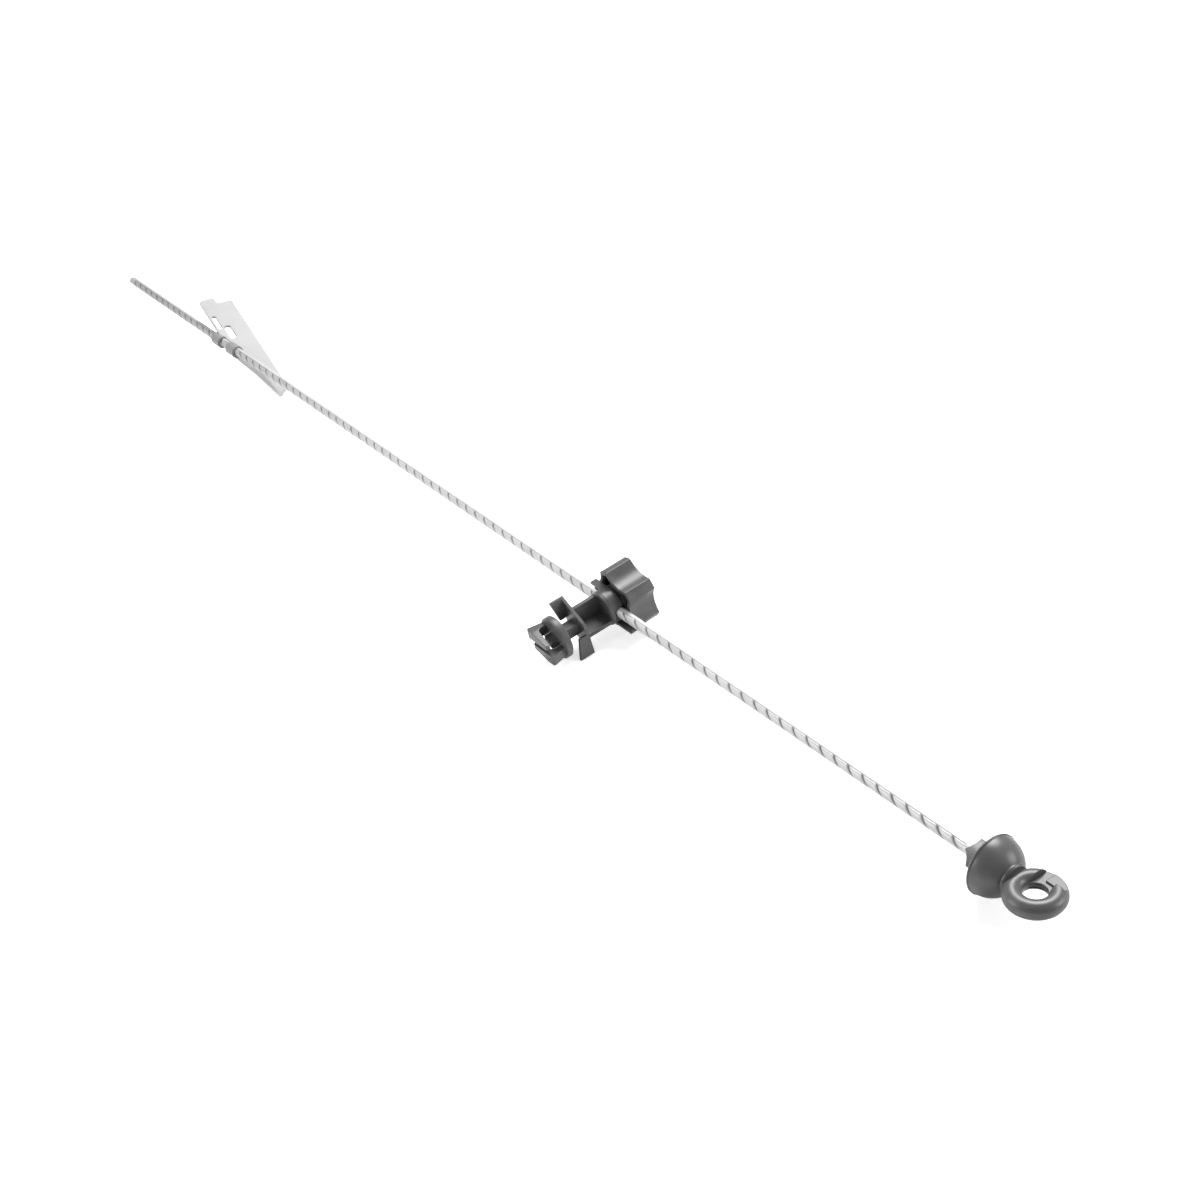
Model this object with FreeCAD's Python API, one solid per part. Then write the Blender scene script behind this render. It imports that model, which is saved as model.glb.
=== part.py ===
"""Ribbed steel fence post with a foot plate, a ring head and a screw-on line insulator.

Millimetres. The post is drawn along +X from its ground end at X = 0, with the ring of its
head lying in the XY plane, and is then laid down the way it comes to rest on a floor at
Z = 0. The origin is the middle of the floor area that the lying post covers.
"""
import FreeCAD, Part
import os
from math import cos, pi, radians, sin

os.makedirs("parts", exist_ok=True)

# Rod with slanted grooves along two sides
ROD_RADIUS = 3.2
ROD_TIP_CHAMFER = 0.6
GROOVE_START = 12.0
GROOVE_PITCH = 10.9
GROOVE_WIDTH = 1.1
GROOVE_DEPTH = 0.55
GROOVE_SLANT = 52.0
GROOVE_TURN = 162.0

# Head insulator, moulded in one piece over the end of the rod
HEAD_START = 992.0
STUB_LENGTH = 11.2
STUB_SIDE = 11.6
STUB_HOLLOW = 0.8
STUB_CORNER = 0.8
SKIRT_RADIUS = 16.7
SKIRT_THICKNESS = 1.6
DOME_RADIUS = 16.2
DOME_PLACE = 12.0
COLLAR_RADIUS = 8.6
COLLAR_PLACE = 27.6
COLLAR_LENGTH = 2.6
RING_PLACE = 40.3
RING_RADIUS = 10.9
RING_TUBE = 5.0
RING_SIDES = 24
LATCH_UPPER = (-6.4, -1.2)
LATCH_UPPER_FROM = 6.9
LATCH_LOWER = (1.6, 5.2)
LATCH_LAP = (-1.4, -0.6)
LATCH_LEDGE = (8.4, 0.8)
LATCH_TOP = 2.7
ROD_IN_HEAD = 24.0
MOULDED_FIT = 0.02

# Line insulator, drawn with its axis along +Y where it crosses the rod
INSULATOR_PLACE = 690.5
INSULATOR_TURN = 7.0
SEAT_CLEARANCE = 0.3
DISC_RADIUS = 13.6
DISC_THICKNESS = 4.3
DISC_REACH = 41.3
DISC_EDGE = 0.6
STEM_SIDE = 7.2
SHIELD_REACH = 25.4
SHIELD_THICKNESS = 2.1
SHIELD_CORNER = (11.4, 15.8)
SHIELD_BELLY = (9.0, 4.4)
SHIELD_ROUND = 4.0
STOP_DEPTH = 8.0
STOP_THICKNESS = 1.9
STOP_LENGTH = 13.4
HOOK_THROAT = 5.9
HOOK_BAR = 4.4
HOOK_TIP_BAR = 2.6
HOOK_LEG_OUTSIDE = 12.4
HOOK_LEG_INSIDE = 6.2
HOOK_LEG_LEAN = 3.0
HOOK_TIP = 8.0
HOOK_UNDERSIDE = 1.3
HOOK_HEIGHT = 6.2
HOOK_TIP_HEIGHT = 3.2
HOOK_ROUND = 1.2
HOOK_INNER_ROUND = 2.6
TONGUE_LENGTH = 4.6
TONGUE_SIZE = (7.6, 5.6)
NECK_WALL = 2.5
NECK_HALF_HEIGHT = 7.0
NECK_HALF_WIDTH = 8.0
SADDLE_BACK = 5.6
SADDLE_FRONT = 2.8
SADDLE_RADIUS = 11.3
SADDLE_ROUND = 1.2
LIP_REACHES = (20.5, 14.6)
LIP_THICKNESS = 1.9
LIP_WIDTH = 4.2
FORK_RADIUS = 8.4
FORK_HALF_WIDTH = 5.2
FORK_REACH = 18.6

# Star knob that screws onto the fork
KNOB_START = 3.6
KNOB_LENGTH = 18.4
KNOB_LOBES = 5
KNOB_FIRST_LOBE = 106.0
KNOB_TIP_RADIUS = 20.4
KNOB_TIP_WIDTH = 6.8
KNOB_VALLEY_RADIUS = 15.4
KNOB_WALL = 2.3
KNOB_BACK = 2.6
KNOB_EDGE = 0.8
HUB_WALL = 2.2
HUB_GAP = 0.3
THREAD_CLEARANCE = 0.1

# Foot plate, one stamped sheet held on the rod by two rolled bands
PLATE_PLACE = 181.5
PLATE_DIP = 16.0
PLATE_SKEW = 7.2
PLATE_THICKNESS = 1.8
PLATE_LONG_EDGE = 22.9
PLATE_ROD_EDGE = -1.7
PLATE_WIDE_END = -52.0
PLATE_NARROW_END = 64.8
PLATE_NARROW_CORNER = (73.6, 13.2)
PLATE_ROUND = 2.4
TAB_REACH = 8.0
TAB_WIDTH = 12.4
CURL_START = 14.0
CURL_POWER = 4.0
CURL_DROP = 5.6
CURL_LEAST = 0.4
CURL_SECTIONS = 7
WINDOWS = ((-29.0, 1.8, 3.6), (-14.0, 7.2, 5.2))
WINDOW_LENGTH = 17.0
BAND_PLACES = (-14.0, 11.0)
BAND_WIDTH = 12.0
BAND_FIT = 0.05
BAND_WALL = 1.5
BAND_SHIFT = 0.5
CORRIDOR = 0.35

X = FreeCAD.Vector(1, 0, 0)
Y = FreeCAD.Vector(0, 1, 0)
Z = FreeCAD.Vector(0, 0, 1)
ORIGIN = FreeCAD.Vector(0, 0, 0)
FAR = 100.0
RESTING_ROUNDS = 12
RESTING_MESH = 0.05


def vector(x, y, z):
    return FreeCAD.Vector(x, y, z)


def box(x_range, y_range, z_range):
    """A box between two values on each axis."""
    size = [high - low for low, high in (x_range, y_range, z_range)]
    return Part.makeBox(*size, vector(x_range[0], y_range[0], z_range[0]))


def cylinder(radius, start, end, axis, middle=ORIGIN):
    """A cylinder round an axis through middle, from start to end along that axis."""
    return Part.makeCylinder(radius, end - start, middle + axis * start, axis)


def prism(points, direction):
    """A solid swept from a closed polygon along a vector."""
    return Part.Face(Part.makePolygon(points + points[:1])).extrude(direction)


def edges_along(shape, direction):
    """The straight edges of a shape that run along a direction."""
    found = []
    for edge in shape.Edges:
        if isinstance(edge.Curve, Part.Line):
            run = edge.tangentAt(edge.FirstParameter)
            if run.cross(direction).Length < 0.001:
                found.append(edge)
    return found


def half_turned(shape):
    """A copy of a shape, half a turn round the Y axis."""
    copy = shape.copy()
    copy.rotate(ORIGIN, Y, 180)
    return copy


def fused(shapes):
    """One solid from shapes that touch or overlap."""
    return shapes[0].multiFuse(shapes[1:]).removeSplitter()


def ribbed_rod():
    """The rod, its blunt ground end chamfered, with slanted grooves on two opposite sides."""
    end = HEAD_START + ROD_IN_HEAD
    rod = cylinder(ROD_RADIUS, 0, end, X)
    rod = rod.makeChamfer(ROD_TIP_CHAMFER, [rod.Edges[index] for index in range(3)
                                           if rod.Edges[index].BoundBox.XMax < ROD_RADIUS])
    reach = 2 * ROD_RADIUS
    groove = box((-GROOVE_WIDTH / 2, GROOVE_WIDTH / 2), (ROD_RADIUS - GROOVE_DEPTH, reach), (-reach, reach))
    groove.rotate(ORIGIN, Y, GROOVE_SLANT)
    opposite = groove.copy()
    opposite.rotate(ORIGIN, X, 180)
    count = int((HEAD_START - GROOVE_START) / GROOVE_PITCH)
    tools = []
    for index in range(count):
        for side in (groove, opposite):
            tool = side.copy()
            tool.rotate(ORIGIN, X, GROOVE_TURN)
            tool.translate(X * (GROOVE_START + index * GROOVE_PITCH))
            tools.append(tool)
    return rod.cut(tools)


def head_stub():
    """The square stub with hollow sides where the rod goes in."""
    half = STUB_SIDE / 2
    stub = box((0, STUB_LENGTH), (-half, half), (-half, half))
    stub = stub.makeFillet(STUB_CORNER, edges_along(stub, X))
    hollow_radius = (half ** 2 + STUB_HOLLOW ** 2) / (2 * STUB_HOLLOW)
    for axis in (Y, Z, -Y, -Z):
        middle = axis * (half + hollow_radius - STUB_HOLLOW)
        stub = stub.cut(cylinder(hollow_radius, 0, STUB_LENGTH, X, middle))
    return stub


def head_latch():
    """The stepped cut that lets a wire into the ring from its far side."""
    low, high = RING_RADIUS - 2 * RING_TUBE + STUB_CORNER, RING_RADIUS + 2 * RING_TUBE
    upper = box(LATCH_UPPER, (LATCH_UPPER_FROM, high), (LATCH_LAP[0], FAR))
    lower = box(LATCH_LOWER, (low, high), (-FAR, LATCH_LAP[1]))
    lap = box((LATCH_UPPER[0], LATCH_LOWER[1]), (low, high), LATCH_LAP)
    ledge, ledge_floor = LATCH_LEDGE
    inner = box((LATCH_UPPER[0], LATCH_LOWER[1]), (low, ledge), (ledge_floor, FAR))
    flat = box((LATCH_UPPER[1], 2 * LATCH_LOWER[1]), (ledge, high), (LATCH_TOP, FAR))
    return [upper, lower, lap, inner, flat]


def ring_section():
    """The ring's round section, drawn as an even outline of many short sides."""
    points = []
    for index in range(RING_SIDES):
        angle = 2 * pi * (index + 0.5) / RING_SIDES
        points.append(vector(RING_RADIUS + RING_TUBE * cos(angle), 0, RING_TUBE * sin(angle)))
    return Part.Face(Part.makePolygon(points + points[:1]))


def head_insulator():
    """Stub, skirt, dome, collar and ring, with the latch cut through the ring."""
    bore = cylinder(ROD_RADIUS + MOULDED_FIT, -1, ROD_IN_HEAD, X)
    ring = ring_section().revolve(ORIGIN, Z, 360).cut(head_latch())
    ring.translate(X * RING_PLACE)
    dome = Part.makeSphere(DOME_RADIUS, X * DOME_PLACE, X)
    dome = dome.cut(box((-FAR, STUB_LENGTH), (-FAR, FAR), (-FAR, FAR)))
    collar = cylinder(COLLAR_RADIUS, COLLAR_PLACE - COLLAR_LENGTH, COLLAR_PLACE, X)
    collar = collar.makeChamfer(COLLAR_LENGTH / 3, [edge for edge in collar.Edges if edge.Length > COLLAR_RADIUS])
    upper = dome.fuse(collar).cut(bore).fuse(ring)
    skirt = cylinder(SKIRT_RADIUS, STUB_LENGTH, STUB_LENGTH + SKIRT_THICKNESS, X)
    skirt = skirt.makeChamfer(SKIRT_THICKNESS / 3, [edge for edge in skirt.Edges if edge.Length > SKIRT_RADIUS])
    body = upper.fuse(skirt.fuse(head_stub()).cut(bore))
    body.translate(X * HEAD_START)
    return body


def hook():
    """One hook of the rope head: a leg on the disc, and a bar across that thins to its tip."""
    low = -DISC_REACH - HOOK_THROAT - HOOK_BAR
    foot = -DISC_REACH + DISC_THICKNESS / 2
    outline = [vector(-HOOK_LEG_OUTSIDE + HOOK_LEG_LEAN, foot, 0), vector(-HOOK_LEG_OUTSIDE, low, 0),
               vector(HOOK_TIP, low, 0), vector(HOOK_TIP, low + HOOK_TIP_BAR, 0),
               vector(-HOOK_LEG_INSIDE, low + HOOK_BAR, 0), vector(-HOOK_LEG_INSIDE, foot, 0)]
    bar = prism(outline, Z * HOOK_HEIGHT)
    ends = [edge for edge in edges_along(bar, Z) if edge.CenterOfMass.y < low + HOOK_BAR - 1 and edge.CenterOfMass.x > 0
            or edge.CenterOfMass.x < -HOOK_LEG_OUTSIDE + 0.1]
    bar = bar.makeFillet(HOOK_ROUND, ends)
    inner = [edge for edge in edges_along(bar, Z) if abs(edge.CenterOfMass.x + HOOK_LEG_INSIDE) < 0.1
             and edge.CenterOfMass.y < foot - 1]
    bar = bar.makeFillet(HOOK_INNER_ROUND, inner)
    bar.translate(Z * HOOK_UNDERSIDE)
    top = HOOK_UNDERSIDE + HOOK_HEIGHT
    slope = prism([vector(-HOOK_LEG_INSIDE, -FAR, top), vector(FAR, -FAR, top),
                   vector(FAR, -FAR, top - (HOOK_HEIGHT - HOOK_TIP_HEIGHT) * (FAR + HOOK_LEG_INSIDE)
                          / (HOOK_TIP + HOOK_LEG_INSIDE))], Y * FAR)
    return bar.cut(slope)


def rope_head():
    """Disc, two facing hooks and the tongue between them."""
    disc = cylinder(DISC_RADIUS, -DISC_REACH, -DISC_REACH + DISC_THICKNESS, Y)
    disc = disc.makeChamfer(DISC_EDGE, [edge for edge in disc.Edges if edge.Length > DISC_RADIUS])
    width, height = TONGUE_SIZE
    tongue = box((-width / 2, width / 2), (-DISC_REACH - TONGUE_LENGTH, -DISC_REACH + 1), (-height / 2, height / 2))
    tongue = tongue.makeFillet(height / 4, edges_along(tongue, X) + edges_along(tongue, Z))
    first = hook()
    return [disc, tongue, first, half_turned(first)]


def tape_shield():
    """The slanted plate behind the disc, with a stop wall along each of its short sides."""
    corner, belly = SHIELD_CORNER, SHIELD_BELLY
    outline = [vector(-corner[0], -SHIELD_REACH, corner[1]), vector(belly[0], -SHIELD_REACH, belly[1]),
               vector(corner[0], -SHIELD_REACH, -corner[1]), vector(-belly[0], -SHIELD_REACH, -belly[1])]
    plate = prism(outline, Y * SHIELD_THICKNESS)
    upright = edges_along(plate, Y)
    blunt = [edge for edge in upright if abs(edge.CenterOfMass.z) < corner[1] / 2]
    plate = plate.makeFillet(SHIELD_ROUND, blunt)
    run = vector(corner[0] - belly[0], 0, -corner[1] - belly[1])
    run.normalize()
    inward = run.cross(Y)
    top = vector(-corner[0], -SHIELD_REACH, corner[1])
    foot = top + run * STOP_LENGTH
    wall = prism([top, foot, foot - Y * STOP_DEPTH * 0.6, top - Y * STOP_DEPTH],
                 inward * STOP_THICKNESS)
    return [plate, wall, half_turned(wall)]


def neck():
    """The channel between shield and saddle, open to one side."""
    start = -SHIELD_REACH + SHIELD_THICKNESS / 2
    wall = box((-NECK_HALF_WIDTH, -NECK_HALF_WIDTH + NECK_WALL), (start, -SADDLE_BACK + NECK_WALL),
               (-NECK_HALF_HEIGHT, NECK_HALF_HEIGHT))
    floor = box((-NECK_HALF_WIDTH, NECK_HALF_WIDTH), (start, -SADDLE_BACK + NECK_WALL),
                (-NECK_HALF_HEIGHT, -NECK_HALF_HEIGHT + NECK_WALL))
    return [wall, floor]


def saddle():
    """The round block that seats the rod, with a thin guiding lip on each side."""
    radius = SADDLE_RADIUS
    block = cylinder(radius, -SADDLE_BACK, SADDLE_FRONT, Y)
    block = block.makeChamfer(SADDLE_ROUND, [edge for edge in block.Edges if edge.Length > radius
                                            and edge.CenterOfMass.y < 0 and edge.Closed])
    lips = []
    for reach in LIP_REACHES:
        lip = box((0, reach), (SADDLE_FRONT - LIP_WIDTH, SADDLE_FRONT), (-radius, -radius + LIP_THICKNESS))
        ends = [edge for edge in edges_along(lip, Y) if edge.CenterOfMass.x > reach / 2]
        lips.append(lip.makeFillet(LIP_THICKNESS / 2.2, ends))
    return [block, lips[0], half_turned(lips[1])]


def fork():
    """The two prongs that take the knob's thread, either side of the rod."""
    stem = cylinder(FORK_RADIUS, 0, FORK_REACH, Y)
    return stem.common(box((-FORK_HALF_WIDTH, FORK_HALF_WIDTH), (-FAR, FAR), (-FAR, FAR)))


def insulator_body():
    """The whole moulding, with the open seat for the rod cut through it."""
    stem_half = STEM_SIDE / 2
    stem = box((-stem_half, stem_half), (-DISC_REACH + DISC_THICKNESS / 2, -SHIELD_REACH + SHIELD_THICKNESS / 2),
               (-stem_half, stem_half))
    body = fused(rope_head() + [stem] + tape_shield() + neck() + saddle() + [fork()])
    seat = ROD_RADIUS + SEAT_CLEARANCE
    body = body.cut(cylinder(seat, -FAR, FAR, X))
    return body.cut(box((-FAR, FAR), (0, FAR), (-seat, seat)))


def star_wire(tip_radius, valley_radius, tip_width, place):
    """The star outline of the knob: flat-topped lobes joined by hollow flutes."""
    half_tip = tip_width / 2 / tip_radius
    step = 2 * pi / KNOB_LOBES
    edges = []
    for index in range(KNOB_LOBES):
        middle = radians(KNOB_FIRST_LOBE) + index * step

        def polar(radius, angle):
            return vector(radius * cos(angle), place, radius * sin(angle))

        start, end = polar(tip_radius, middle - half_tip), polar(tip_radius, middle + half_tip)
        following = polar(tip_radius, middle + step - half_tip)
        edges.append(Part.Arc(start, polar(tip_radius, middle), end).toShape())
        edges.append(Part.Arc(end, polar(valley_radius, middle + step / 2), following).toShape())
    return Part.Wire(edges)


def star_prism(tip_radius, valley_radius, tip_width, start, end):
    return Part.Face(star_wire(tip_radius, valley_radius, tip_width, start)).extrude(Y * (end - start))


def star_knob():
    """A closed star cup with a threaded hub in its middle."""
    end = KNOB_START + KNOB_LENGTH
    shell = star_prism(KNOB_TIP_RADIUS, KNOB_VALLEY_RADIUS, KNOB_TIP_WIDTH, KNOB_START, end)
    shell = shell.makeFillet(KNOB_EDGE, edges_along(shell, Y))
    hollow = star_prism(KNOB_TIP_RADIUS - KNOB_WALL, KNOB_VALLEY_RADIUS - KNOB_WALL,
                        KNOB_TIP_WIDTH - KNOB_WALL, KNOB_START, end - KNOB_BACK)
    bore = FORK_RADIUS + THREAD_CLEARANCE
    hub = cylinder(bore + HUB_WALL, KNOB_START + HUB_GAP, end - KNOB_BACK / 2, Y)
    knob = fused([shell.cut(hollow), hub])
    return knob.cut(cylinder(bore, 0, end - KNOB_BACK, Y))


def curl_section(place):
    """One section across the curled stretch: flat from the long edge, then turned down."""
    share = (place - CURL_START) / (PLATE_NARROW_CORNER[0] - CURL_START)
    flat_end = PLATE_ROD_EDGE + (PLATE_NARROW_CORNER[1] - PLATE_ROD_EDGE) * (1 - (1 - share) ** CURL_POWER)
    drop = CURL_LEAST + CURL_DROP * sin(pi * share ** 0.7)
    thick = PLATE_THICKNESS
    outer = [(PLATE_LONG_EDGE, 0), (flat_end, 0), (flat_end - 0.22 * drop, -0.1 * drop),
             (flat_end - 0.36 * drop, -0.4 * drop), (flat_end - 0.44 * drop, -drop)]
    inner = [(flat_end - 0.44 * drop + thick, -drop - 0.08 * thick),
             (flat_end - 0.3 * drop + thick, -0.4 * drop - 0.6 * thick),
             (flat_end + 0.3 * thick, -thick), (PLATE_LONG_EDGE, -thick)]
    return Part.makePolygon([vector(place, f, z) for f, z in outer + inner + outer[:1]])


def plate_sheet():
    """The flat of the foot plate in its own plane, upper face at Z = 0, with its curled side."""
    tab_end = PLATE_WIDE_END - TAB_REACH
    tab_side = PLATE_ROD_EDGE + TAB_WIDTH
    overlap = CURL_START + 0.02
    outline = [vector(tab_end, PLATE_ROD_EDGE, 0), vector(overlap, PLATE_ROD_EDGE, 0),
               vector(overlap, PLATE_LONG_EDGE, 0), vector(PLATE_WIDE_END, PLATE_LONG_EDGE, 0),
               vector(PLATE_WIDE_END, tab_side, 0), vector(tab_end, tab_side, 0)]
    flat = prism(outline, -Z * PLATE_THICKNESS)
    corners = [edge for edge in edges_along(flat, Z) if edge.CenterOfMass.x < CURL_START / 2]
    flat = flat.makeFillet(PLATE_ROUND, corners)
    step = (PLATE_NARROW_CORNER[0] - CURL_START) / (CURL_SECTIONS - 1)
    sections = [curl_section(CURL_START + index * step) for index in range(CURL_SECTIONS)]
    curled = Part.makeLoft(sections, True, True)
    corner = vector(*PLATE_NARROW_CORNER, 0)
    edge_end = vector(PLATE_NARROW_END, PLATE_LONG_EDGE, 0)
    slant = corner - edge_end
    trim = prism([edge_end - slant * 0.5 + Z * FAR, corner + slant * 2 + Z * FAR,
                  corner + slant * 2 + X * FAR + Z * FAR, edge_end - slant * 0.5 + X * FAR + Z * FAR],
                 -Z * 2 * FAR)
    sheet = fused([flat, curled]).cut(trim)
    for middle, across, width in WINDOWS:
        half = WINDOW_LENGTH / 2
        window = box((middle - half, middle + half), (across - width / 2, across + width / 2), (-FAR, FAR))
        sheet = sheet.cut(window.makeFillet(width / 2.2, edges_along(window, Z)))
    return sheet


def foot_plate():
    """The sheet set across the rod, with the two bands rolled round the rod."""
    sheet = plate_sheet()
    sheet.translate(Z * PLATE_THICKNESS / 2)
    sheet.rotate(ORIGIN, Z, -PLATE_SKEW)
    sheet.rotate(ORIGIN, Y, PLATE_DIP)
    sheet = sheet.cut(cylinder(ROD_RADIUS + CORRIDOR, -FAR, FAR, X))
    inner = ROD_RADIUS + BAND_FIT
    outer = inner + BAND_WALL
    middle = -Y * BAND_SHIFT
    bands = [cylinder(outer, place - BAND_WIDTH / 2, place + BAND_WIDTH / 2, X, middle) for place in BAND_PLACES]
    plate = fused([sheet] + bands)
    plate = plate.cut(cylinder(inner, BAND_PLACES[0] - BAND_WIDTH, BAND_PLACES[1] + BAND_WIDTH, X))
    plate.translate(X * PLATE_PLACE)
    return plate


def placed_insulator(shape):
    """A shape of the line insulator, turned and carried to its place on the rod."""
    shape.rotate(ORIGIN, X, INSULATOR_TURN)
    shape.translate(X * INSULATOR_PLACE)
    return shape


def resting_normal(supports):
    """The normal of the floor: the plane through the lowest point of each support."""
    points = [shape.tessellate(RESTING_MESH)[0] for shape in supports]
    normal = Z
    for _ in range(RESTING_ROUNDS):
        lows = [min(cloud, key=lambda point: point.dot(normal)) for cloud in points]
        normal = (lows[1] - lows[0]).cross(lows[2] - lows[0])
        normal.normalize()
        if normal.z < 0:
            normal = -normal
    return normal


def lying(nodes, supports):
    """How the drawn post moves to lie on the floor, centred over the origin."""
    turn = FreeCAD.Rotation(resting_normal(supports), Z)
    whole = Part.makeCompound(list(nodes))
    whole.Placement = FreeCAD.Placement(ORIGIN, turn)
    extent = whole.optimalBoundingBox()
    middle = extent.Center
    return FreeCAD.Placement(vector(-middle.x, -middle.y, -extent.ZMin), turn)


def build():
    """Every node of the post by name, lying on the floor, and the placement that laid it."""
    nodes = {
        "ribbed_rod": ribbed_rod(),
        "foot_plate": foot_plate(),
        "head_insulator": head_insulator(),
        "insulator_body": placed_insulator(insulator_body()),
        "star_knob": placed_insulator(star_knob()),
    }
    placement = lying(nodes.values(), [nodes["foot_plate"], nodes["insulator_body"], nodes["star_knob"]])
    for name, shape in nodes.items():
        shape.Placement = placement * shape.Placement
        nodes[name] = shape.Solids[0] if len(shape.Solids) == 1 else shape
    return nodes, placement


if __name__ == "__main__":
    for node, solid in build()[0].items():
        solid.exportStep(f"parts/{node}.step")
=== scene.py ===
"""Electric fence post lying on a pale floor.

The solid model gives the foot plate, the ring head, the line insulator and the
star knob. The rod is drawn here again with its raised pads, slanted grooves and
smooth bands. The recess in the ring gets its floor here, and the hollow of the
insulator's neck is carried on into the saddle. Metres throughout.
"""
import logging
import math
from dataclasses import dataclass, field
from enum import Enum
from typing import Dict, List, Sequence, Tuple

import bmesh
import bpy
from mathutils import Matrix, Vector


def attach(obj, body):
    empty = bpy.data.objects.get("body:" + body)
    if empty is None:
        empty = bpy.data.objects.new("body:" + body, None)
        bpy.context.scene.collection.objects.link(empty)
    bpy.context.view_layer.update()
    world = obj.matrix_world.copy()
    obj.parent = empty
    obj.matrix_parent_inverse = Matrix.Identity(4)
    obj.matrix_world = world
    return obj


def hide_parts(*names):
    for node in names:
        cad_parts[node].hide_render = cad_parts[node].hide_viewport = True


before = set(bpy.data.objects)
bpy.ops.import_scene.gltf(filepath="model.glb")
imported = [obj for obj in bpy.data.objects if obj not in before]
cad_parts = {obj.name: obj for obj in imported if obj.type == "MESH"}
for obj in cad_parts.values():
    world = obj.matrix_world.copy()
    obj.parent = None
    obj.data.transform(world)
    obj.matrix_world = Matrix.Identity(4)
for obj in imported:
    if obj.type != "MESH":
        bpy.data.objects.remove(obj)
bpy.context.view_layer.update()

LOG = logging.getLogger("fence_post")

Colour = Tuple[float, float, float, float]
Place = Tuple[float, float, float]
MERGE_DISTANCE = 2e-6
SHARP_ANGLE = math.radians(28.0)
SHADE_AND_TONE_MARK = "hollow"
BEVEL_SAMPLES = 6
MOTTLE_DETAIL = 5.0
GRAIN_DETAIL = 3.0
MOTTLE_RANGE = (0.3, 0.7)
GRAIN_STRENGTH = 0.35
MIX_FACTOR, MIX_FIRST, MIX_SECOND = 0, 6, 7
MIX_COLOUR = 2
BORDER_SOFTNESS = 2.5
BAND_SHADE_REACH = 0.0054


class Slot(Enum):
    """Material slots of the post."""

    ROD = "rod_steel"
    PLATE = "plate_steel"
    PLASTIC = "black_plastic"


@dataclass(frozen=True)
class Finish:
    """How a material looks.

    Attributes:
        dark: colour in the low places of the mottle.
        light: colour in the high places of the mottle.
        metallic: share of metal.
        roughness: lowest and highest roughness.
        mottle_scale: size of the mottle, as a noise scale.
        grain_scale: size of the fine grain, as a noise scale.
        grain_height: height of the fine grain in metres.
        edge_radius: radius that edges are softened by, in metres.
        shade_and_tone: how much darker the marked places are: painted shade, and the rod's darker ground
            end.
    """

    dark: Colour
    light: Colour
    metallic: float
    roughness: Tuple[float, float]
    mottle_scale: float
    grain_scale: float
    grain_height: float
    edge_radius: float
    shade_and_tone: float


FINISHES: Dict[Slot, Finish] = {
    Slot.ROD: Finish(
        dark=(0.60, 0.60, 0.60, 1.0), light=(0.68, 0.68, 0.68, 1.0), metallic=0.15,
        roughness=(0.36, 0.46), mottle_scale=70.0, grain_scale=1600.0,
        grain_height=3e-5, edge_radius=1e-4, shade_and_tone=0.78),
    Slot.PLATE: Finish(
        dark=(0.36, 0.36, 0.36, 1.0), light=(0.41, 0.41, 0.41, 1.0), metallic=0.15,
        roughness=(0.46, 0.60), mottle_scale=45.0, grain_scale=900.0,
        grain_height=4e-5, edge_radius=4e-4, shade_and_tone=0.32),
    Slot.PLASTIC: Finish(
        dark=(0.078, 0.078, 0.079, 1.0), light=(0.112, 0.112, 0.114, 1.0), metallic=0.0,
        roughness=(0.30, 0.40), mottle_scale=80.0, grain_scale=1300.0,
        grain_height=3e-5, edge_radius=7e-4, shade_and_tone=0.0),
}


@dataclass(frozen=True)
class PostFrame:
    """Where the post's own axes lie: X along the rod, the ring in its XY plane."""

    origin: Vector = field(default_factory=lambda: Vector((-0.524069, 0.011474, 0.022552)))
    along: Vector = field(default_factory=lambda: Vector((0.99999, -0.000038, -0.004399)))
    side: Vector = field(default_factory=lambda: Vector((-0.000038, 0.999853, -0.017122)))
    up: Vector = field(default_factory=lambda: Vector((0.004399, 0.017122, 0.999844)))

    def point(self, along: float, side: float, up: float) -> Vector:
        """A point of the post in the row frame.

        Args:
            along: distance from the ground end.
            side: distance along the post's Y axis.
            up: distance along the post's Z axis.

        Returns:
            The point in metres.
        """
        return self.origin + self.along * along + self.side * side + self.up * up


@dataclass(frozen=True)
class RodShape:
    """Sizes of the rod's surface, in metres and degrees.

    Attributes:
        length: length of the rod.
        radius: radius of the smooth bands.
        tip_chamfer: chamfer of the blunt end.
        grooved_until: where the grooves end, from the ground end.
        grooved_from: where the grooves begin.
        first_groove: place of the first groove.
        pitch: distance from groove to groove.
        groove_half_width: half the width of a groove.
        groove_depth: depth of a groove.
        slant: slant of the grooves.
        grooved_side: angle round the rod of the middle of one grooved side.
        pad_half_angle: half the angle that a pad covers.
        pad_crown: how far the pads fall off towards their grooves.
        border_depth: depth of the line along the pads.
        border_half_angle: half the angle that this line covers.
        border_wave: how far the line swings in at each groove.
        pad_tone: how dark the pads are marked.
        border_tone: how dark the lines are marked.
        tip_tone: how dark the ground end is marked.
        tip_tone_length: how far that mark reaches.
        stations: rings of points along the rod.
        around: points in each ring.
    """

    length: float = 1.0152
    radius: float = 0.00318
    tip_chamfer: float = 0.0006
    grooved_until: float = 0.9875
    grooved_from: float = 0.009
    first_groove: float = 0.012
    pitch: float = 0.0109
    groove_half_width: float = 0.0006
    groove_depth: float = 0.00052
    slant: float = 52.0
    grooved_side: float = 162.0
    pad_half_angle: float = 56.0
    pad_crown: float = 0.00022
    border_depth: float = 0.00034
    border_half_angle: float = 6.0
    border_wave: float = 5.0
    # pad_tone: how dark the pads are marked, as painted shade.
    pad_tone: float = 0.14
    # border_tone: how dark the lines are marked, as painted shade.
    border_tone: float = 0.6
    tip_tone: float = 0.5
    tip_tone_length: float = 0.45
    stations: int = 1380
    around: int = 64


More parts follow.
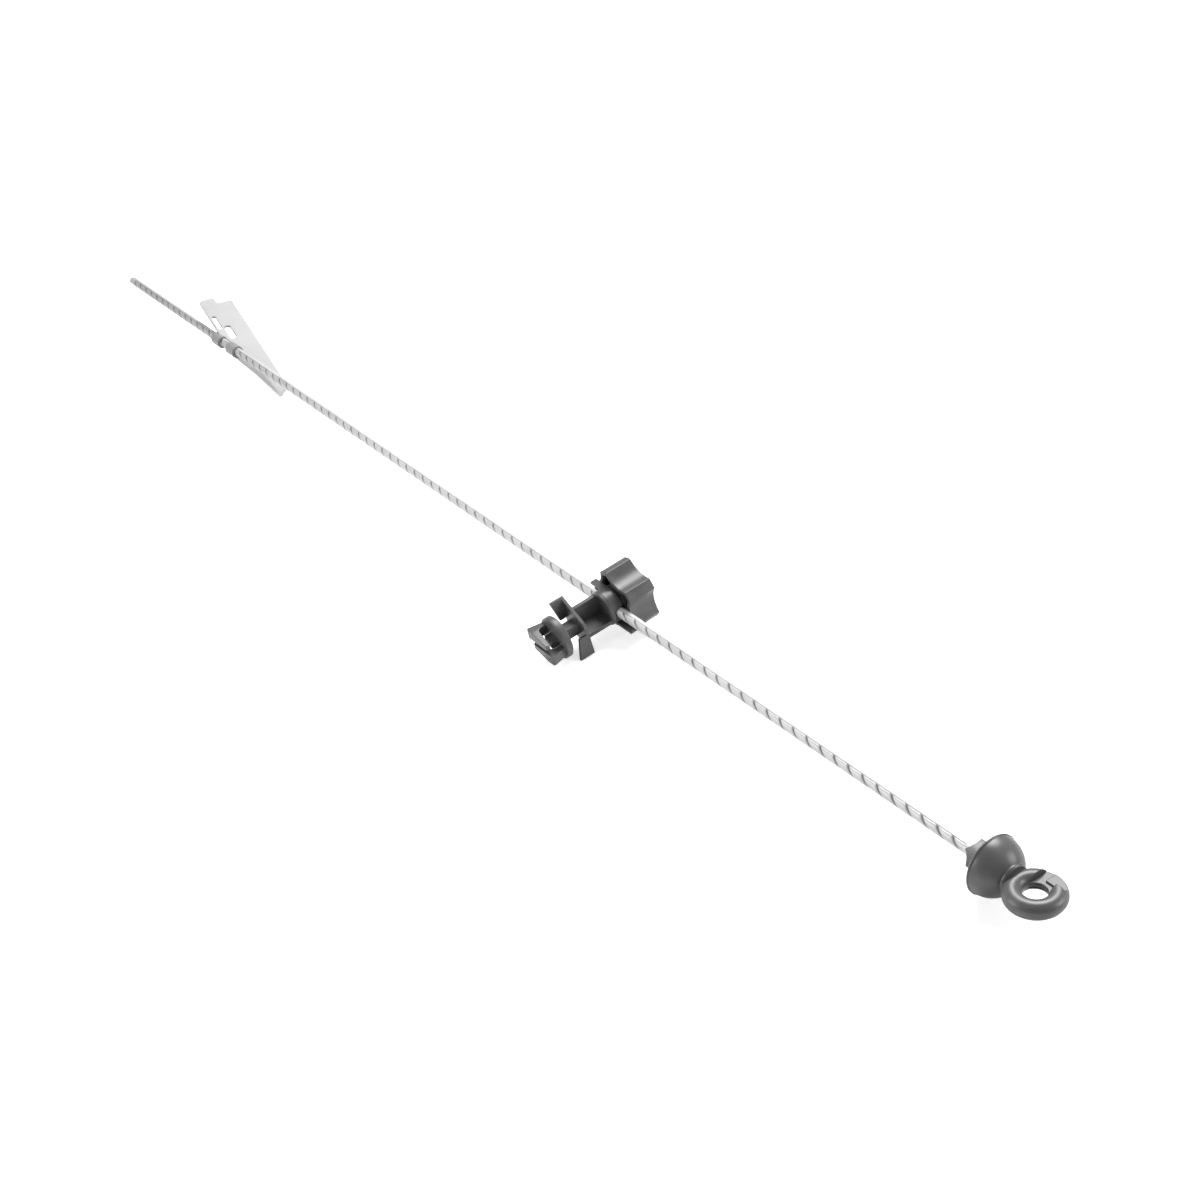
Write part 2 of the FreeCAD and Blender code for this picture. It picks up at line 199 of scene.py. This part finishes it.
@dataclass(frozen=True)
class LatchShape:
    """Sizes of the ring's stepped opening, in metres, from the middle of the ring.

    Attributes:
        ring_place: the ring's middle, from the ground end.
        ring_radius: radius of the ring's centre line.
        tube: radius of the ring's section.
        inset: how far the floor stays inside the ring's surface.
        nearest: the nearest that the floor comes to the rod's axis.
        ledge: how far the inner step reaches.
        upper: range of the outer step along the rod.
        lower: range of the inner step along the rod.
        upper_height: range of the outer step in height.
        lower_height: range of the inner step in height.
        steps: cells along each side of a block.
    """

    ring_place: float = 1.0323
    ring_radius: float = 0.0109
    tube: float = 0.005
    inset: float = 0.00006
    nearest: float = 0.0018
    ledge: float = 0.0084
    upper: Tuple[float, float] = (-0.0064, -0.0012)
    lower: Tuple[float, float] = (-0.0012, 0.0052)
    upper_height: Tuple[float, float] = (-0.0006, 0.0017)
    lower_height: Tuple[float, float] = (0.0006, 0.0017)
    steps: int = 10


@dataclass(frozen=True)
class InsulatorFrame:
    """Where the line insulator's own axes lie: across the rod, along its axis, and up.

    Attributes:
        post: the post that carries it.
        along_rod: its place on the rod, from the ground end.
        turn: its turn round the rod in degrees.
    """

    post: PostFrame = field(default_factory=PostFrame)
    along_rod: float = 0.6905
    turn: float = 7.0

    def point(self, across: float, axial: float, up: float) -> Vector:
        """A point of the line insulator in the row frame.

        Args:
            across: distance along the rod from the insulator's axis.
            axial: distance along the axis, towards the knob.
            up: distance upwards from the axis.

        Returns:
            The point in metres.
        """
        turn = math.radians(self.turn)
        side = axial * math.cos(turn) - up * math.sin(turn)
        height = axial * math.sin(turn) + up * math.cos(turn)
        return self.post.point(self.along_rod + across, side, height)


@dataclass(frozen=True)
class HollowShape:
    """Sizes of the hollow that the neck makes in the saddle, in metres.

    Attributes:
        near: where the hollow begins, along the insulator's axis.
        left: its side towards the ground end.
        right: its side towards the head.
        radius: how far from the axis it may reach.
        floor: its lowest height.
        top: its greatest height.
        profile: heights, each with the place where the hollow ends along the axis.
        rows: layers of points in height.
    """

    near: float = -0.0075
    left: float = -0.0055
    right: float = 0.0068
    radius: float = 0.0079
    floor: float = -0.0045
    top: float = 0.0077
    profile: Tuple[Tuple[float, float], ...] = ((-0.0045, -0.0047), (0.0031, -0.0040), (0.0077, -0.0008))
    rows: int = 16


class MaterialLibrary:
    """Builds each material once, on shared node groups."""

    def __init__(self) -> None:
        """Makes the shared group, and no material yet."""
        self._group = self._surface_group()
        self._made: Dict[Slot, bpy.types.Material] = {}

    @staticmethod
    def _surface_group() -> bpy.types.NodeTree:
        """A node group that gives colour, roughness and normal from object coordinates.

        Returns:
            The node group.
        """
        group = bpy.data.node_groups.new("Mottled surface", "ShaderNodeTree")
        face = group.interface
        for name, kind in (("Dark", "NodeSocketColor"), ("Light", "NodeSocketColor"),
                           ("Roughness low", "NodeSocketFloat"), ("Roughness high", "NodeSocketFloat"),
                           ("Mottle scale", "NodeSocketFloat"), ("Grain scale", "NodeSocketFloat"),
                           ("Grain height", "NodeSocketFloat"), ("Edge normal", "NodeSocketVector")):
            face.new_socket(name=name, in_out="INPUT", socket_type=kind)
        for name, kind in (("Colour", "NodeSocketColor"), ("Roughness", "NodeSocketFloat"),
                           ("Normal", "NodeSocketVector")):
            face.new_socket(name=name, in_out="OUTPUT", socket_type=kind)
        nodes, links = group.nodes, group.links
        entry = nodes.new("NodeGroupInput")
        leave = nodes.new("NodeGroupOutput")
        place = nodes.new("ShaderNodeTexCoord")
        mottle = nodes.new("ShaderNodeTexNoise")
        mottle.inputs["Detail"].default_value = MOTTLE_DETAIL
        grain = nodes.new("ShaderNodeTexNoise")
        grain.inputs["Detail"].default_value = GRAIN_DETAIL
        for noise, scale in ((mottle, "Mottle scale"), (grain, "Grain scale")):
            links.new(place.outputs["Object"], noise.inputs["Vector"])
            links.new(entry.outputs[scale], noise.inputs["Scale"])
        spread = nodes.new("ShaderNodeMapRange")
        spread.inputs["From Min"].default_value = MOTTLE_RANGE[0]
        spread.inputs["From Max"].default_value = MOTTLE_RANGE[1]
        links.new(mottle.outputs["Fac"], spread.inputs["Value"])
        mix = nodes.new("ShaderNodeMix")
        mix.data_type = "RGBA"
        links.new(spread.outputs["Result"], mix.inputs[MIX_FACTOR])
        links.new(entry.outputs["Dark"], mix.inputs[MIX_FIRST])
        links.new(entry.outputs["Light"], mix.inputs[MIX_SECOND])
        links.new(mix.outputs[MIX_COLOUR], leave.inputs["Colour"])
        rough = nodes.new("ShaderNodeMapRange")
        links.new(spread.outputs["Result"], rough.inputs["Value"])
        links.new(entry.outputs["Roughness low"], rough.inputs["To Min"])
        links.new(entry.outputs["Roughness high"], rough.inputs["To Max"])
        links.new(rough.outputs["Result"], leave.inputs["Roughness"])
        bump = nodes.new("ShaderNodeBump")
        bump.inputs["Strength"].default_value = GRAIN_STRENGTH
        links.new(entry.outputs["Grain height"], bump.inputs["Distance"])
        links.new(grain.outputs["Fac"], bump.inputs["Height"])
        links.new(entry.outputs["Edge normal"], bump.inputs["Normal"])
        links.new(bump.outputs["Normal"], leave.inputs["Normal"])
        return group

    def get(self, slot: Slot) -> bpy.types.Material:
        """The material of a slot.

        Args:
            slot: which slot.

        Returns:
            The material, built on first use.
        """
        if slot not in self._made:
            self._made[slot] = self._build(slot, FINISHES[slot])
        return self._made[slot]

    @staticmethod
    def _shaded(tree: bpy.types.NodeTree, surface: bpy.types.Node, finish: Finish) -> bpy.types.NodeSocket:
        """The surface colour, darkened where the mesh is marked: painted shade, and the rod's darker
        ground end.

        Args:
            tree: the material's node tree.
            surface: the shared surface group's node.
            finish: the finish being built.

        Returns:
            The socket that carries the colour.
        """
        if finish.shade_and_tone == 0.0:
            return surface.outputs["Colour"]
        # Painted shade: the colour is darkened where the mesh is marked, and on the rod also towards its
        # ground end.
        mark = tree.nodes.new("ShaderNodeAttribute")
        mark.attribute_name = SHADE_AND_TONE_MARK
        shade = tree.nodes.new("ShaderNodeMapRange")
        shade.inputs["To Min"].default_value = 1.0
        shade.inputs["To Max"].default_value = 1.0 - finish.shade_and_tone
        tree.links.new(mark.outputs["Fac"], shade.inputs["Value"])
        scale = tree.nodes.new("ShaderNodeVectorMath")
        scale.operation = "SCALE"
        tree.links.new(surface.outputs["Colour"], scale.inputs[0])
        tree.links.new(shade.outputs["Result"], scale.inputs["Scale"])
        return scale.outputs["Vector"]

    def _build(self, slot: Slot, finish: Finish) -> bpy.types.Material:
        """Builds one material.

        Args:
            slot: which slot it is for.
            finish: how it looks.

        Returns:
            The material.
        """
        material = bpy.data.materials.new(slot.value)
        material.use_nodes = True
        nodes, links = material.node_tree.nodes, material.node_tree.links
        shader = nodes["Principled BSDF"]
        shader.inputs["Metallic"].default_value = finish.metallic
        edge = nodes.new("ShaderNodeBevel")
        edge.samples = BEVEL_SAMPLES
        edge.inputs["Radius"].default_value = finish.edge_radius
        surface = nodes.new("ShaderNodeGroup")
        surface.node_tree = self._group
        values = {"Dark": finish.dark, "Light": finish.light,
                  "Roughness low": finish.roughness[0], "Roughness high": finish.roughness[1],
                  "Mottle scale": finish.mottle_scale, "Grain scale": finish.grain_scale,
                  "Grain height": finish.grain_height}
        for name, value in values.items():
            surface.inputs[name].default_value = value
        links.new(edge.outputs["Normal"], surface.inputs["Edge normal"])
        links.new(self._shaded(material.node_tree, surface, finish), shader.inputs["Base Color"])
        links.new(surface.outputs["Roughness"], shader.inputs["Roughness"])
        links.new(surface.outputs["Normal"], shader.inputs["Normal"])
        return material


def add_object(name: str, mesh: bpy.types.Mesh) -> bpy.types.Object:
    """Puts a mesh in the scene at the origin.

    Args:
        name: object name.
        mesh: its mesh.

    Returns:
        The object.
    """
    made = bpy.data.objects.new(name, mesh)
    bpy.context.scene.collection.objects.link(made)
    return made


def shade_by_angle(work: bmesh.types.BMesh) -> None:
    """Shades a mesh smooth between its sharp edges.

    Args:
        work: the mesh being built.
    """
    for found in work.faces:
        found.smooth = True
    for edge in work.edges:
        edge.smooth = len(edge.link_faces) == 2 and edge.calc_face_angle(0.0) < SHARP_ANGLE


class Piece:
    """A visible piece that rides a body and takes a material slot."""

    body: str = "post"
    slot: Slot = Slot.PLASTIC

    def __init__(self, library: MaterialLibrary) -> None:
        """Keeps what the piece is made with.

        Args:
            library: where its material comes from.
        """
        self.library = library

    def dress(self, made: bpy.types.Object, nodes: Sequence[str]) -> bpy.types.Object:
        """Gives a piece its material and its body, and hides the solids it stands for.

        Args:
            made: the piece.
            nodes: names of the solids it replaces.

        Returns:
            The piece.
        """
        made.data.materials.clear()
        made.data.materials.append(self.library.get(self.slot))
        if nodes:
            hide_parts(*nodes)
        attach(made, self.body)
        return made


class SolidPiece(Piece):
    """A solid of the model, merged and shaded smooth between its sharp edges."""

    def __init__(self, library: MaterialLibrary, node: str, name: str, body: str, slot: Slot,
                 shaded_within: float = 0.0) -> None:
        """Keeps what the piece is made with.

        Args:
            library: where its material comes from.
            node: the solid that it copies and stands for.
            name: its own name.
            body: the body that it rides.
            slot: its material slot.
            shaded_within: faces this close to the rod's axis are marked darker, as painted shade.
        """
        super().__init__(library)
        self.shaded_within = shaded_within
        self.node = node
        self.name = name
        self.body = body
        self.slot = slot

    def build(self) -> bpy.types.Object:
        """Makes the piece.

        Returns:
            The dressed object.
        """
        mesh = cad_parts[self.node].data.copy()
        mesh.name = self.name
        work = bmesh.new()
        work.from_mesh(mesh)
        bmesh.ops.remove_doubles(work, verts=work.verts, dist=MERGE_DISTANCE)
        bmesh.ops.dissolve_degenerate(work, edges=work.edges, dist=MERGE_DISTANCE)
        shade_by_angle(work)
        clean = bpy.data.meshes.new(self.name)
        work.to_mesh(clean)
        work.free()
        bpy.data.meshes.remove(mesh)
        if self.shaded_within > 0.0:
            self._mark_band_shade(clean)
        return self.dress(add_object(self.name, clean), [self.node])

    def _mark_band_shade(self, mesh: bpy.types.Mesh) -> None:
        """Marks the faces close round the rod for painted shade, darker than the open sheet.

        Args:
            mesh: the piece's mesh.
        """
        place = PostFrame()
        marks = []
        for found in mesh.polygons:
            offsets = [mesh.vertices[index].co - place.origin for index in found.vertices]
            away = max((offset - place.along * offset.dot(place.along)).length for offset in offsets)
            # Painted shade on the bands that wrap round the rod.
            marks.append(1.0 if away < self.shaded_within else 0.0)
        mesh.attributes.new(SHADE_AND_TONE_MARK, "FLOAT", "FACE").data.foreach_set("value", marks)


class InsulatorPiece(SolidPiece):
    """The line insulator, with the hollow of its neck carried into the saddle."""

    def __init__(self, library: MaterialLibrary, hollow: HollowShape) -> None:
        """Keeps what the piece is made with.

        Args:
            library: where its material comes from.
            hollow: sizes of the hollow.
        """
        super().__init__(library, "insulator_body", "line_insulator_moulding", "line_insulator",
                         Slot.PLASTIC)
        self.hollow = hollow
        self.place = InsulatorFrame()

    def _end_at(self, up: float) -> float:
        """How far along the axis the hollow runs at one height.

        Args:
            up: height above the insulator's axis.

        Returns:
            Distance along the axis in metres.
        """
        for (low, start), (high, end) in zip(self.hollow.profile, self.hollow.profile[1:]):
            if up <= high:
                return start + (end - start) * (up - low) / (high - low)
        return self.hollow.profile[-1][1]

    def _cutter(self) -> bpy.types.Object:
        """Makes the solid that is taken out of the saddle.

        Returns:
            The cutter, which is removed after use.
        """
        hollow = self.hollow
        work = bmesh.new()
        rows = []
        for index in range(hollow.rows):
            up = hollow.floor + (hollow.top - hollow.floor) * index / (hollow.rows - 1)
            right = min(hollow.right, math.sqrt(hollow.radius ** 2 - up ** 2))
            end = self._end_at(up)
            corners = ((hollow.left, hollow.near), (right, hollow.near), (right, end), (hollow.left, end))
            rows.append([work.verts.new(self.place.point(x, a, up)) for x, a in corners])
        for low, high in zip(rows, rows[1:]):
            for index in range(4):
                after = (index + 1) % 4
                work.faces.new((low[index], low[after], high[after], high[index]))
        work.faces.new(rows[0])
        work.faces.new(rows[-1])
        bmesh.ops.recalc_face_normals(work, faces=work.faces)
        mesh = bpy.data.meshes.new("hollow_cutter")
        work.to_mesh(mesh)
        work.free()
        return add_object("hollow_cutter", mesh)

    def build(self) -> bpy.types.Object:
        """Makes the piece.

        Returns:
            The dressed object.
        """
        made = super().build()
        cutter = self._cutter()
        cut = made.modifiers.new("hollow", "BOOLEAN")
        cut.operation = "DIFFERENCE"
        cut.solver = "EXACT"
        cut.object = cutter
        bpy.context.view_layer.update()
        shaped = bpy.data.meshes.new_from_object(made.evaluated_get(bpy.context.evaluated_depsgraph_get()))
        made.modifiers.remove(cut)
        bpy.data.objects.remove(cutter)
        work = bmesh.new()
        work.from_mesh(shaped)
        shade_by_angle(work)
        work.to_mesh(shaped)
        work.free()
        made.data = shaped
        return made


class RodPiece(Piece):
    """The rod: smooth bands on two sides, raised pads between slanted grooves on the others."""

    body = "post"
    slot = Slot.ROD

    def __init__(self, library: MaterialLibrary, shape: RodShape, place: PostFrame) -> None:
        """Keeps what the piece is made with.

        Args:
            library: where its material comes from.
            shape: sizes of the rod.
            place: the post's own axes.
        """
        super().__init__(library)
        self.shape = shape
        self.place = place

    def _hollow_and_shade(self, along: float, angle: float) -> Tuple[float, float]:
        """How the surface falls short of the rod's round outline at one place.

        Args:
            along: distance from the ground end.
            angle: angle round the rod in degrees, from the post's Y towards its Z.

        Returns:
            Depth in metres, and how dark the place is marked as painted shade, from 0 to 1.
        """
        shape = self.shape
        if along < shape.grooved_from or along > shape.grooved_until:
            return 0.0, 0.0
        offset = (angle - shape.grooved_side + 90.0) % 180.0 - 90.0
        lean = shape.radius * math.sin(math.radians(offset)) * math.tan(math.radians(shape.slant))
        phase = (along - shape.first_groove - lean) / shape.pitch
        part = phase - round(phase)
        across = abs(part) * shape.pitch * math.cos(math.radians(shape.slant))
        border_at = shape.pad_half_angle - shape.border_wave * (2.0 * abs(part)) ** 2
        border = math.exp(-((abs(offset) - border_at) / shape.border_half_angle) ** 2)
        inside = 1.0 / (1.0 + math.exp((abs(offset) - border_at) / BORDER_SOFTNESS))
        groove = math.exp(-(across / shape.groove_half_width) ** 4)
        crown = shape.pad_crown * (1.0 - 2.0 * abs(part)) ** 2
        depth = max(inside * (shape.groove_depth * groove + crown), shape.border_depth * border)
        # Painted shade: the grooves, the lines along the pads and the pads themselves are marked darker.
        mark = max(inside * (shape.pad_tone + (1.0 - shape.pad_tone) * groove), shape.border_tone * border)
        return depth, mark

    def _ring(self, along: float) -> List[Tuple[Vector, float]]:
        """The points of one ring round the rod.

        Args:
            along: distance from the ground end.

        Returns:
            Each point with how dark it is marked: painted shade, and the darker ground end.
        """
        shape = self.shape
        inset = max(0.0, shape.tip_chamfer - along)
        tip_tone = shape.tip_tone * max(0.0, 1.0 - along / shape.tip_tone_length)
        points = []
        for index in range(shape.around):
            angle = 360.0 * index / shape.around
            depth, mark = self._hollow_and_shade(along, angle)
            radius = shape.radius - inset - depth
            turn = math.radians(angle)
            place = self.place.point(along, radius * math.cos(turn), radius * math.sin(turn))
            # The mark is painted shade, with the darker ground end added to it.
            points.append((place, min(1.0, mark + tip_tone)))
        return points

    def build(self) -> bpy.types.Object:
        """Makes the rod.

        Returns:
            The dressed object.
        """
        shape = self.shape
        step = shape.length / (shape.stations - 1)
        points: List[Vector] = []
        marks: List[float] = []
        for index in range(shape.stations):
            for place, mark in self._ring(index * step):
                points.append(place)
                marks.append(mark)
        around = shape.around
        faces = []
        for row in range(shape.stations - 1):
            low, high = row * around, (row + 1) * around
            for index in range(around):
                after = (index + 1) % around
                faces.append((low + index, low + after, high + after, high + index))
        faces.append(tuple(range(around - 1, -1, -1)))
        last = (shape.stations - 1) * around
        faces.append(tuple(range(last, last + around)))
        mesh = bpy.data.meshes.new("grooved_rod")
        mesh.from_pydata(points, [], faces)
        work = bmesh.new()
        work.from_mesh(mesh)
        bmesh.ops.recalc_face_normals(work, faces=work.faces)
        for found in work.faces:
            found.smooth = len(found.verts) == 4
        work.to_mesh(mesh)
        work.free()
        # Painted shade and the darker ground end, kept on the points for the material.
        mesh.attributes.new(SHADE_AND_TONE_MARK, "FLOAT", "POINT").data.foreach_set("value", marks)
        return self.dress(add_object("grooved_rod", mesh), ["ribbed_rod"])


class LatchFloor(Piece):
    """The floor of the recess in the ring, on both sides of its step."""

    body = "post"
    slot = Slot.PLASTIC

    def __init__(self, library: MaterialLibrary, shape: LatchShape, place: PostFrame) -> None:
        """Keeps what the piece is made with.

        Args:
            library: where its material comes from.
            shape: sizes of the opening.
            place: the post's own axes.
        """
        super().__init__(library)
        self.shape = shape
        self.place = place

    def _reach(self, along: float, up: float, sign: float) -> float:
        """How far the ring reaches to the side at one place.

        Args:
            along: distance from the ring's middle along the rod.
            up: height above the ring's middle plane.
            sign: 1 for the outer surface and -1 for the inner one.

        Returns:
            The distance in metres.
        """
        shape = self.shape
        radius = shape.ring_radius + sign * (math.sqrt(shape.tube ** 2 - up ** 2) - shape.inset)
        return math.sqrt(max(radius ** 2 - along ** 2, 0.0))

    def _add_block(self, work: bmesh.types.BMesh, along: Tuple[float, float], height: Tuple[float, float],
                   far_limit: float) -> None:
        """Adds one block of the floor.

        Args:
            work: the mesh being built.
            along: its range along the rod.
            height: its range in height.
            far_limit: the furthest it may reach to the side.
        """
        shape = self.shape
        count = shape.steps + 1
        layers: List[List[bmesh.types.BMVert]] = []
        for row in range(count):
            up = height[0] + (height[1] - height[0]) * row / shape.steps
            layer = []
            for far in (False, True):
                for index in range(count):
                    x = along[0] + (along[1] - along[0]) * index / shape.steps
                    outer = min(far_limit, self._reach(x, up, 1.0))
                    inner = max(shape.nearest, self._reach(x, up, -1.0))
                    side = outer if far else inner
                    layer.append(work.verts.new(self.place.point(shape.ring_place + x, side, up)))
            layers.append(layer[:count] + layer[count:][::-1])
        loop = len(layers[0])
        for low, high in zip(layers, layers[1:]):
            for index in range(loop):
                after = (index + 1) % loop
                work.faces.new((low[index], low[after], high[after], high[index]))
        for layer in (layers[0], layers[-1]):
            for index in range(count - 1):
                work.faces.new((layer[index], layer[index + 1], layer[-index - 2], layer[-index - 1]))

    def build(self) -> bpy.types.Object:
        """Makes the floor.

        Returns:
            The dressed object.
        """
        shape = self.shape
        work = bmesh.new()
        self._add_block(work, shape.upper, shape.upper_height, shape.ring_radius + shape.tube)
        self._add_block(work, shape.lower, shape.lower_height, shape.ledge)
        bmesh.ops.recalc_face_normals(work, faces=work.faces)
        mesh = bpy.data.meshes.new("latch_floor")
        work.to_mesh(mesh)
        work.free()
        return self.dress(add_object("latch_floor", mesh), [])


@dataclass(frozen=True)
class AreaLamp:
    """A soft lamp.

    Attributes:
        name: name of the lamp.
        place: where it hangs.
        aim: the point it is turned to.
        size: its diameter.
        power: its power in watts.
    """

    name: str
    place: Place
    aim: Place
    size: float
    power: float

    def build(self) -> bpy.types.Object:
        """Makes the lamp.

        Returns:
            The lamp object.
        """
        data = bpy.data.lights.new(self.name, "AREA")
        data.shape = "DISK"
        data.size = self.size
        data.energy = self.power
        made = bpy.data.objects.new(self.name, data)
        bpy.context.scene.collection.objects.link(made)
        made.location = self.place
        direction = Vector(self.aim) - Vector(self.place)
        made.rotation_euler = direction.to_track_quat("-Z", "Y").to_euler()
        return made


LAMPS = (
    AreaLamp("key", (-0.5, 1.1, 2.0), (0.25, 0.0, 0.0), 1.5, 78.0),
    AreaLamp("rim", (1.9, 1.6, 0.9), (0.4, 0.0, 0.0), 1.2, 24.0),
    AreaLamp("left", (-0.9, -1.9, 0.9), (0.15, 0.0, 0.0), 1.3, 26.0),
)


class Studio:
    """Floor, sky, lamps and camera.

    Attributes:
        floor_half: half the floor's width.
        floor_colour: colour of the floor.
        floor_roughness: roughness of the floor.
        floor_glow: how much the floor glows to the camera.
        sky_level: strength of the sky as a light.
        white: white.
        lens: focal length in millimetres.
        sensor_width: width of the camera's sensor in millimetres.
        camera_place: where the camera stands.
        camera_axes: the camera's right, up and back.
        camera_clip: nearest and furthest distance that the camera sees.
    """

    floor_half: float = 6.0
    floor_colour: Colour = (0.9, 0.9, 0.9, 1.0)
    floor_roughness: float = 0.9
    floor_glow: float = 0.6
    sky_level: float = 0.28
    white: Colour = (1.0, 1.0, 1.0, 1.0)
    lens: float = 58.34
    sensor_width: float = 36.0
    camera_place: Place = (0.986799, -0.496644, 0.657744)
    camera_axes: Tuple[Place, Place, Place] = ((0.581022, 0.805804, -0.114419),
                                               (-0.392541, 0.400598, 0.827909),
                                               (0.712969, -0.436119, 0.549068))
    camera_clip: Tuple[float, float] = (0.01, 50.0)

    def build(self) -> None:
        """Makes the whole studio."""
        self._floor()
        self._sky()
        for lamp in LAMPS:
            lamp.build()
        self._camera()
        scene = bpy.context.scene
        scene.view_settings.view_transform = "Standard"
        scene.view_settings.look = "None"

    def _floor(self) -> None:
        """Makes the pale floor, which glows a little where the camera sees it."""
        mesh = bpy.data.meshes.new("floor")
        work = bmesh.new()
        bmesh.ops.create_grid(work, x_segments=1, y_segments=1, size=self.floor_half)
        work.to_mesh(mesh)
        work.free()
        floor = add_object("floor", mesh)
        material = bpy.data.materials.new("floor")
        material.use_nodes = True
        nodes, links = material.node_tree.nodes, material.node_tree.links
        shader = nodes["Principled BSDF"]
        shader.inputs["Base Color"].default_value = self.floor_colour
        shader.inputs["Roughness"].default_value = self.floor_roughness
        glow = nodes.new("ShaderNodeLightPath")
        shader.inputs["Emission Color"].default_value = self.white
        scale = nodes.new("ShaderNodeMath")
        scale.operation = "MULTIPLY"
        scale.inputs[1].default_value = self.floor_glow
        links.new(glow.outputs["Is Camera Ray"], scale.inputs[0])
        links.new(scale.outputs["Value"], shader.inputs["Emission Strength"])
        floor.data.materials.append(material)

    def _sky(self) -> None:
        """Makes a white sky that lights the post more weakly than it looks."""
        world = bpy.data.worlds.new("studio")
        bpy.context.scene.world = world
        world.use_nodes = True
        nodes, links = world.node_tree.nodes, world.node_tree.links
        sky = nodes["Background"]
        sky.inputs["Color"].default_value = self.white
        path = nodes.new("ShaderNodeLightPath")
        level = nodes.new("ShaderNodeMapRange")
        level.inputs["To Min"].default_value = self.sky_level
        level.inputs["To Max"].default_value = 1.0
        links.new(path.outputs["Is Camera Ray"], level.inputs["Value"])
        links.new(level.outputs["Result"], sky.inputs["Strength"])

    def _camera(self) -> None:
        """Sets the camera by its place and its three axes."""
        data = bpy.data.cameras.new("camera")
        data.lens = self.lens
        data.sensor_width = self.sensor_width
        data.clip_start, data.clip_end = self.camera_clip
        made = bpy.data.objects.new("camera", data)
        bpy.context.scene.collection.objects.link(made)
        turn = Matrix([Vector(axis) for axis in self.camera_axes]).transposed()
        made.rotation_euler = turn.to_euler()
        made.location = self.camera_place
        bpy.context.scene.camera = made


class FencePost:
    """The whole post."""

    def __init__(self) -> None:
        """Lists the pieces, with the materials that they share."""
        library = MaterialLibrary()
        self.pieces = [
            RodPiece(library, RodShape(), PostFrame()),
            SolidPiece(library, "foot_plate", "stamped_plate", "post", Slot.PLATE, BAND_SHADE_REACH),
            SolidPiece(library, "head_insulator", "ring_head", "post", Slot.PLASTIC),
            LatchFloor(library, LatchShape(), PostFrame()),
            InsulatorPiece(library, HollowShape()),
            SolidPiece(library, "star_knob", "star_knob_moulding", "clamp_knob", Slot.PLASTIC),
        ]

    def build(self) -> None:
        """Makes every piece."""
        for piece in self.pieces:
            made = piece.build()
            LOG.info("%s: %d faces", made.name, len(made.data.polygons))


def save_size() -> None:
    """Updates the view layer after the pieces were added."""
    bpy.context.view_layer.update()


def main() -> None:
    """Builds the post and its studio."""
    logging.basicConfig(level=logging.INFO)
    FencePost().build()
    Studio().build()
    save_size()


if __name__ == "__main__":
    main()
